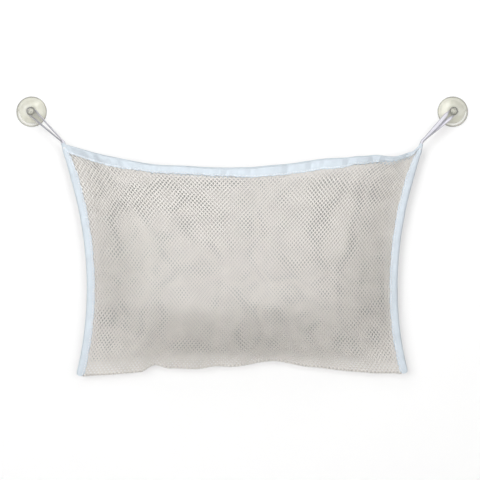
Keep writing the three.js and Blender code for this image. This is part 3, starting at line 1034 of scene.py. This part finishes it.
def stitch_row(path, out, pitch):
    """Places, directions and facings of stitches at an even pitch along a finely drawn path."""
    run = length_along(path)
    marks = np.arange(pitch / 2, run[-1], pitch)
    along = np.gradient(path, axis=0)
    return [
        np.stack([np.interp(marks, run, part[:, axis]) for axis in range(3)], axis=-1)
        for part in (path, along, out)
    ]


def joined_rows(rows):
    return [np.concatenate(parts) for parts in zip(*rows)]


def thread_lift(tape):
    """Height of a stitch's middle above the middle of the tape under it."""
    return tape.tape_thickness / 2 + tape.thread_width * STITCH_LIFT


def hem_stitches(scene, face, start, end):
    """Stitches on both leaves of a hem."""
    shape, net, tape = scene.bag_shape, scene.net_cloth, scene.tape_and_thread
    u = np.linspace(start, end, HEM_SEAM_POINTS)
    raised = tape.hem_half - STITCH_PULL + thread_lift(tape)
    rows = []
    for way in (1, -1):
        roll = hem_roll(u, face) if way > 0 else 1.0
        below = tape.hem_width * roll - tape.stitch_inset
        path = hem_cloth(shape, net, tape, u, below, way * raised, face)
        out = path - hem_cloth(shape, net, tape, u, below, 0.0, face)
        rows.append(stitch_row(path, out, tape.stitch_pitch))
    return joined_rows(rows)


class BATHBAG_OT_hem_seams(bpy.types.Operator):
    """Sew the hems with rows of single stitches"""

    bl_idname = "bathbag.hem_seams"
    bl_label = "Hem seams"

    def execute(self, context):
        scene = context.scene
        for name, side in SIDES:
            ends = sorted((0.0, side * HEM_SEAM_END))
            piece = seam_piece(scene, f"front_hem_{name}_seam", hem_stitches(scene, FRONT, *ends))
            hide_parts("front_hem_thread")
            blend_half(piece)
        piece = seam_piece(scene, "back_hem_seam", hem_stitches(scene, BACK, -HEM_SEAM_END, HEM_SEAM_END))
        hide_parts("back_hem_thread")
        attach(piece, "bag")
        return {"FINISHED"}


class BATHBAG_OT_binding_seams(bpy.types.Operator):
    """Sew the side bindings, and tack the ribbon into their top ends"""

    bl_idname = "bathbag.binding_seams"
    bl_label = "Binding seams and bar tacks"

    def execute(self, context):
        scene = context.scene
        shape, tape = scene.bag_shape, scene.tape_and_thread
        for name, side in SIDES:
            seam = seam_piece(scene, f"{name}_binding_seam", self.seam(shape, tape, side))
            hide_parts(f"{name}_binding_thread")
            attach(seam, "bag")
            tack = seam_piece(scene, f"{name}_bar_tack", self.bar_tack(shape, tape, side))
            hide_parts(f"{name}_corner_bartack")
            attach(tack, "bag")
        return {"FINISHED"}

    def seam(self, shape, tape, side):
        """A row of stitches along the edge of a binding, on both faces."""
        inset = tape.binding_width - tape.stitch_inset
        raised = tape.binding_half * BINDING_SEAM_DEPTH + thread_lift(tape)
        v = np.linspace(*BINDING_SEAM_ENDS, BINDING_SEAM_POINTS)
        rows = []
        for way in (-1, 1):
            path = binding_cloth(shape, tape, side, v, inset, way * raised)
            rows.append(stitch_row(path, np.broadcast_to((0.0, way, 0.0), path.shape), tape.stitch_pitch))
        return joined_rows(rows)

    def bar_tack(self, shape, tape, side):
        """Close stitches side by side across the top end of a binding, on both faces."""
        inset = np.linspace(*BAR_TACK_SIDES, BAR_TACK_STITCHES) * tape.binding_width
        raised = tape.binding_half * BAR_TACK_DEPTH + thread_lift(tape)
        rows = []
        for way in (-1, 1):
            low, high = (
                binding_cloth(shape, tape, side, np.full(BAR_TACK_STITCHES, v), inset, way * raised)
                for v in BAR_TACK_ENDS
            )
            rows.append([(low + high) / 2, high - low, np.broadcast_to((0.0, way, 0.0), low.shape)])
        return joined_rows(rows)


def loop_path(shape, tape, loops, cups, side):
    """The ribbon's way: up one leg, round the neck and down the other, with the turn of its face. Its tails
    bend down into the end of the binding."""
    foot = np.array(LOOP_FOOT)
    reach = np.array([NECK.x - LOOP_FOOT.x, 0.0, NECK.z - LOOP_FOOT.z])
    up = unit(reach)
    aside = np.array([up[2], 0.0, -up[0]])
    apart, opening, loose, power_apart, gathered, facing = LOOP_FORMS[side]
    bend = cups.neck_diameter / 2 + NECK_GAP + loops.ribbon_thickness / 2 + loose
    span = np.linalg.norm(reach) - loose
    rise = np.linspace(-loops.tail_depth, span, LEG_POINTS)
    foot_gap = apart * smooth(1 + rise / loops.tail_depth)
    parting = np.clip((rise - opening) / (span - opening), 0, 1) ** power_apart
    spread_out = foot_gap + (bend - apart) * parting
    turn = np.linspace(-math.pi / 2, math.pi / 2, NECK_POINTS)[1:-1]
    height = np.concatenate([rise, span + bend * np.cos(turn), rise[::-1]])
    sideways = np.concatenate([-spread_out, bend * np.sin(turn), spread_out[::-1]])
    turned = 1 - (1 - facing) * smooth(height / CORNER_TWIST + 0.5)
    face_on = turned * (1 - smooth((height - span + EDGE_ON_START) / EDGE_ON_LENGTH))
    narrow = gathered + (1 - gathered) * smooth((height - SPREAD_START) / SPREAD_LENGTH)
    layer = np.concatenate([np.full(len(rise), -1.0), np.zeros(len(turn)), np.full(len(rise), 1.0)])
    ends = binding_cloth(shape, tape, 1, np.array(TAIL_ENDS), tape.binding_width / 2, 0.0)
    below_foot = loops.tail_bend * np.logaddexp(0.0, -height / loops.tail_bend)
    path = foot + height[:, None] * up + sideways[:, None] * aside
    path += below_foot[:, None] * (up + unit(ends[0] - ends[1]))
    path[:, 1] += layer * face_on * loops.ribbon_thickness * LEG_LAYER
    angle = face_on * math.pi / 2
    width_way = np.cos(angle)[:, None] * np.array([0.0, 1.0, 0.0]) - np.sin(angle)[:, None] * aside
    mirror = np.array([side, 1.0, 1.0])
    return path * mirror, width_way * mirror, narrow, up * mirror


class BATHBAG_OT_hanging_loops(bpy.types.Operator):
    """Lay the ribbon loops from the bag's corners round the necks of the cups"""

    bl_idname = "bathbag.hanging_loops"
    bl_label = "Hanging loops"

    def execute(self, context):
        scene = context.scene
        loops, cups = scene.ribbon_loops, scene.vinyl_cups
        place = np.linspace(-0.5, 0.5, RIBBON_POINTS)
        cupped = RIBBON_CUPPING * (2 * place) ** 4
        for name, side in SIDES:
            path, width_way, narrow, up = loop_path(scene.bag_shape, scene.tape_and_thread, loops, cups, side)
            along = unit(np.gradient(path, axis=0))
            width_way = unit(width_way - along * (along * width_way).sum(axis=-1, keepdims=True))
            face = np.cross(along, width_way)
            reach = narrow[:, None] * place[None, :] * loops.ribbon_width
            points = (
                path[:, None] + width_way[:, None] * reach[..., None]
                + face[:, None] * cupped[None, :, None]
            )
            weave = weave_grid(points, length_along(path)[:, None], place * loops.ribbon_width)
            quads = grid_quads(*points.shape[:2]).tolist()
            ribbon = material_named("white_ribbon", ribbon_material, loops)
            piece = new_piece(f"{name}_ribbon_loop", points, quads, weave, ribbon)
            thicken(piece, loops.ribbon_thickness)
            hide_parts(f"{name}_hanging_loop")
            foot = np.array(LOOP_FOOT) * (side, 1, 1)
            foot - up * 0.004
            foot + up * 0.006
            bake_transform(piece)
        return {"FINISHED"}


class BATHBAG_OT_suction_cups(bpy.types.Operator):
    """Mould the suction cups: hollow face, bell, neck and head"""

    bl_idname = "bathbag.suction_cups"
    bl_label = "Suction cups"

    def execute(self, context):
        cups = context.scene.vinyl_cups
        for name, side in SIDES:
            self.mould(cups, f"{name}_vinyl_cup", side, self.profile(cups))
            piece = bpy.context.object
            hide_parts(f"{name}_suction_cup")
            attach(piece, f"{name}_cup")
        return {"FINISHED"}

    def profile(self, cups):
        """Radius and distance from the wall of each ring: the hollow face, the lip, the bell, the neck and
        the head."""
        lip, neck, head = cups.diameter / 2, cups.neck_diameter / 2, cups.head_diameter / 2
        crown, head_base = CUP_CROWN, cups.depth - CUP_HEAD
        return [
            (0.002, 0.003), (0.007, 0.0028), (0.012, 0.0021), (0.0155, 0.001), (lip - 0.002, 0.0002),
            (lip - 0.0012, 0.0), (lip - 0.0003, 0.0), (lip, 0.0003), (lip - 0.0001, 0.0009),
            (lip - 0.0008, 0.0014), (0.0170, 0.0027), (0.0149, 0.0046), (0.0123, 0.0062), (0.0096, 0.0073),
            (0.0072, 0.0079), (0.0055, crown), (neck + 0.0009, crown + 0.0001), (neck, crown + 0.0008),
            (neck, (crown + head_base) / 2), (neck, head_base - 0.0008), (neck + 0.0008, head_base),
            (head - 0.0006, head_base), (head, head_base + 0.0006), (head * 0.985, head_base + 0.0014),
            (head * 0.88, head_base + 0.0027), (head * 0.62, head_base + 0.0039),
            (head * 0.28, cups.depth - 0.0001),
        ]

    def mould(self, cups, name, side, rings):
        """Draws a disc out from the wall, ring after ring, and rounds it."""
        x = side * NECK.x
        radius, out = rings[0]
        bpy.ops.object.select_all(action="DESELECT")
        bpy.ops.mesh.primitive_circle_add(
            vertices=CUP_POINTS, radius=radius, fill_type="NGON",
            location=(x, -out, 0), rotation=(math.pi / 2, 0, 0),
        )
        cup = bpy.context.object
        cup.name = cup.data.name = name
        bpy.ops.object.transform_apply(location=True, rotation=True)
        bpy.ops.object.mode_set(mode="EDIT")
        bpy.ops.mesh.select_all(action="SELECT")
        for next_radius, next_out in rings[1:]:
            bpy.ops.mesh.extrude_region_move(TRANSFORM_OT_translate={"value": (0, out - next_out, 0)})
            share = next_radius / radius
            bpy.ops.transform.resize(value=(share, 1, share), center_override=(x, -next_out, 0))
            radius, out = next_radius, next_out
        bpy.ops.mesh.select_all(action="SELECT")
        bpy.ops.mesh.remove_doubles(threshold=1e-6)
        bpy.ops.mesh.normals_make_consistent(inside=False)
        bpy.ops.object.mode_set(mode="OBJECT")
        bpy.ops.object.modifier_add(type="SUBSURF")
        rounding = cup.modifiers[-1]
        rounding.levels = rounding.render_levels = 1
        bpy.ops.object.modifier_apply(modifier=rounding.name)
        bpy.ops.object.shade_smooth()
        places = np.array([vertex.co for vertex in cup.data.vertices])
        outward, up = side * (places[:, 0] - x), places[:, 2]
        # How far each point lies towards the lower outer side, where the painted light of the crescent goes.
        low = CRESCENT_WAY[0] * outward + CRESCENT_WAY[1] * up
        write_weave(cup.data, np.stack([np.hypot(outward, up), -places[:, 1], low], axis=-1))
        cup.data.materials.append(material_named("clear_vinyl", vinyl_material, cups))


class BATHBAG_OT_stage(bpy.types.Operator):
    """Set up the wall, the floor, the backdrop, the lamps and the camera"""

    bl_idname = "bathbag.stage"
    bl_label = "Stage"

    def execute(self, context):
        stage = context.scene.studio_stage
        self.surfaces(stage)
        self.lamps(stage)
        self.world(context.scene, stage)
        self.camera(context.scene, stage)
        context.scene.view_settings.view_transform = "Standard"
        return {"FINISHED"}

    def surfaces(self, stage):
        place = (0, -FLOOR_DEPTH / 2, -stage.floor_drop)
        floor = self.plane("pale_floor", place, 0.0, (FLOOR_WIDTH, FLOOR_DEPTH, 1.0))
        floor.data.materials.append(self.plaster(floor.name, stage.floor_colour))
        place = (0, WALL_GAP, (WALL_TOP - stage.floor_drop) / 2)
        wall = self.plane("pale_wall", place, math.pi / 2, (FLOOR_WIDTH, 1.0, WALL_TOP + stage.floor_drop))
        wall.data.materials.append(self.plaster(wall.name, stage.wall_colour, backs_bag=True))
        bpy.ops.mesh.primitive_uv_sphere_add(segments=64, ring_count=32, radius=stage.backdrop_radius)
        backdrop = bpy.context.object
        backdrop.name = "pale_backdrop"
        backdrop.data.flip_normals()
        backdrop.data.materials.append(self.white_paint(backdrop.name))
        backdrop.visible_diffuse = False
        backdrop.visible_glossy = False
        backdrop.visible_shadow = False

    def plane(self, name, place, tilt, sizes):
        bpy.ops.object.select_all(action="DESELECT")
        bpy.ops.mesh.primitive_plane_add(size=1.0, location=place, rotation=(tilt, 0, 0))
        plane = bpy.context.object
        plane.name = name
        bpy.ops.transform.resize(value=sizes, center_override=place)
        bpy.ops.object.transform_apply(location=True, rotation=True, scale=True)
        return plane

    def plaster(self, name, tone, backs_bag=False):
        """Pale matt plaster, clear from behind, that looks whiter to the camera than it lights the room.
        Where it backs the bag the rear lamp shines through it, and the patch that the bag hides looks darker
        to
        the camera: painted shade. The floor is white far off."""
        material, start = start_material(name)
        pale = soft_noise(start, 40.0, 3.0).shades(tone, (0.3, 0.985), (0.7, 1.0))
        seen = seen_rays(start, "Is Camera Ray", "Is Glossy Ray", "Is Transmission Ray")
        glow = seen_rays(start, "Is Camera Ray")
        clear = self.seen_from_behind(start)
        if backs_bag:
            # Painted shade: the camera sees the part of the wall that the bag hides darker and without glow.
            hidden = self.behind_bag(start)
            seen = seen * (1 - hidden * BEHIND_BAG_SHADE)
            glow = glow * (1 - hidden) * PLASTER_GLOW
            clear = (clear + seen_rays(start, "Is Shadow Ray")).step(0.0, 1.0)
        else:
            x, y, _ = parts_of(start, own_space(start))
            glow = glow * (PLASTER_GLOW + (x * x + y * y).step(*FLOOR_FADE) * (1 - PLASTER_GLOW))
        tint = mixed(start, seen, pale, (1.0, 1.0, 1.0, 1.0))
        self.one_sided(start, tint, glow, strength=1.0, clear=clear)
        return material

    def white_paint(self, name):
        """White that glows by itself, clear from behind. It is mostly matt, because clear vinyl looks grainy
        in front of bare light."""
        material, start = start_material(name)
        clear = self.seen_from_behind(start)
        self.one_sided(start, (0.85, 0.85, 0.8, 1.0), glow=0.1, strength=10.0, clear=clear)
        return material

    def seen_from_behind(self, start):
        return start.node("ShaderNodeNewGeometry", None, None, "Backfacing")

    def one_sided(self, start, tint, glow, strength, clear):
        """Ends a material that is matt with a share of glow, and lets light through where it is clear."""
        matt = start.node("ShaderNodeBsdfDiffuse", None, {"Color": tint, "Roughness": 1.0})
        white = start.node("ShaderNodeEmission", None, {"Color": (1, 1, 1, 1), "Strength": strength})
        lit = start.node("ShaderNodeMixShader", None, {0: glow, 1: matt, 2: white})
        gone = start.node("ShaderNodeBsdfTransparent")
        finish_material(start, start.node("ShaderNodeMixShader", None, {0: clear, 1: lit, 2: gone}))

    def behind_bag(self, start):
        """1 on the part of the wall that the bag hides, 0 on the rest. Curves close to the bag's outline, in
        metres, part them."""
        x, _, z = parts_of(start, own_space(start))
        x = x.size()
        above_waist = z + 0.2
        half_width = 0.188 + above_waist * above_waist * 1.07
        below_hem = x * x * 0.6 - 0.072 - z
        above_fold = z + 0.314 + x * x * 0.31
        between_sides = (half_width - x).step(0.004, 0.016)
        return between_sides * below_hem.step(0.004, 0.016) * above_fold.step(0.006, 0.02)

    def lamps(self, stage):
        aim = Vector((0, 0, -0.16))
        for name, place, size, watts in (
            ("key_lamp", (-1.5, -2.4, 0.5), 2.2, stage.key_power),
            ("fill_lamp", (1.5, -2.4, -0.3), 2.2, stage.fill_power),
            ("near_lamp", (0.0, -0.5, 0.45), 0.26, stage.near_power),
            ("rear_lamp", (0.6, 2.4, 0.4), 2.2, stage.rear_power),
        ):
            data = bpy.data.lights.new(name, "AREA")
            data.energy = watts
            data.size = size
            lamp = bpy.data.objects.new(name, data)
            lamp.location = place
            lamp.visible_camera = False
            lamp.rotation_euler = (aim - Vector(place)).to_track_quat("-Z", "Y").to_euler()
            bpy.context.collection.objects.link(lamp)

    def world(self, scene, stage):
        world = bpy.data.worlds.new("studio")
        world.use_nodes = True
        world.node_tree.nodes.clear()
        start = Socket(world.node_tree)
        seen = seen_rays(start, "Is Camera Ray", "Is Glossy Ray", "Is Transmission Ray")
        light = start.node("ShaderNodeBackground", None, {"Color": (1, 1, 1, 1), "Strength": stage.ambient})
        white = start.node("ShaderNodeBackground", None, {"Color": (1, 1, 1, 1), "Strength": 1.0})
        both = start.node("ShaderNodeMixShader", None, {0: seen, 1: light, 2: white})
        start.node("ShaderNodeOutputWorld", None, {0: both})
        scene.world = world

    def camera(self, scene, stage):
        data = bpy.data.cameras.new("photo_camera")
        data.lens = data.sensor_width * stage.camera_distance / stage.view_width
        camera = bpy.data.objects.new("photo_camera", data)
        camera.location = (stage.camera_side, -stage.camera_distance, stage.camera_height)
        camera.rotation_euler = (math.pi / 2, 0, 0)
        bpy.context.collection.objects.link(camera)
        scene.camera = camera


class BATHBAG_PT_panel(bpy.types.Panel):
    """The bag's pieces, in the order that they are made"""

    bl_idname = "BATHBAG_PT_panel"
    bl_label = "Net Bath Toy Bag"
    bl_space_type = "VIEW_3D"
    bl_region_type = "UI"
    bl_category = "Toy Bag"

    def draw(self, context):
        for operator in OPERATORS:
            self.layout.operator(operator.bl_idname)
        for name in SETTINGS:
            box = self.layout.box()
            settings = getattr(context.scene, name)
            for field in settings.__annotations__:
                box.prop(settings, field)


SETTINGS = {
    "bag_shape": BagShape,
    "net_cloth": NetCloth,
    "tape_and_thread": TapeAndThread,
    "ribbon_loops": RibbonLoops,
    "vinyl_cups": VinylCups,
    "studio_stage": StudioStage,
}
OPERATORS = (
    BATHBAG_OT_stage,
    BATHBAG_OT_back_net,
    BATHBAG_OT_front_net,
    BATHBAG_OT_hem_tapes,
    BATHBAG_OT_side_bindings,
    BATHBAG_OT_hem_seams,
    BATHBAG_OT_binding_seams,
    BATHBAG_OT_hanging_loops,
    BATHBAG_OT_suction_cups,
)
CLASSES = (*SETTINGS.values(), *OPERATORS, BATHBAG_PT_panel)


def register():
    for cls in CLASSES:
        bpy.utils.register_class(cls)
    for name, group in SETTINGS.items():
        setattr(bpy.types.Scene, name, PointerProperty(type=group))


def unregister():
    for name in SETTINGS:
        delattr(bpy.types.Scene, name)
    for cls in reversed(CLASSES):
        bpy.utils.unregister_class(cls)


def main():
    register()
    bpy.ops.bathbag.stage()
    bpy.ops.bathbag.back_net()
    bpy.ops.bathbag.front_net()
    bpy.ops.bathbag.hem_tapes()
    bpy.ops.bathbag.side_bindings()
    bpy.ops.bathbag.hem_seams()
    bpy.ops.bathbag.binding_seams()
    bpy.ops.bathbag.hanging_loops()
    bpy.ops.bathbag.suction_cups()


if __name__ == "__main__":
    main()
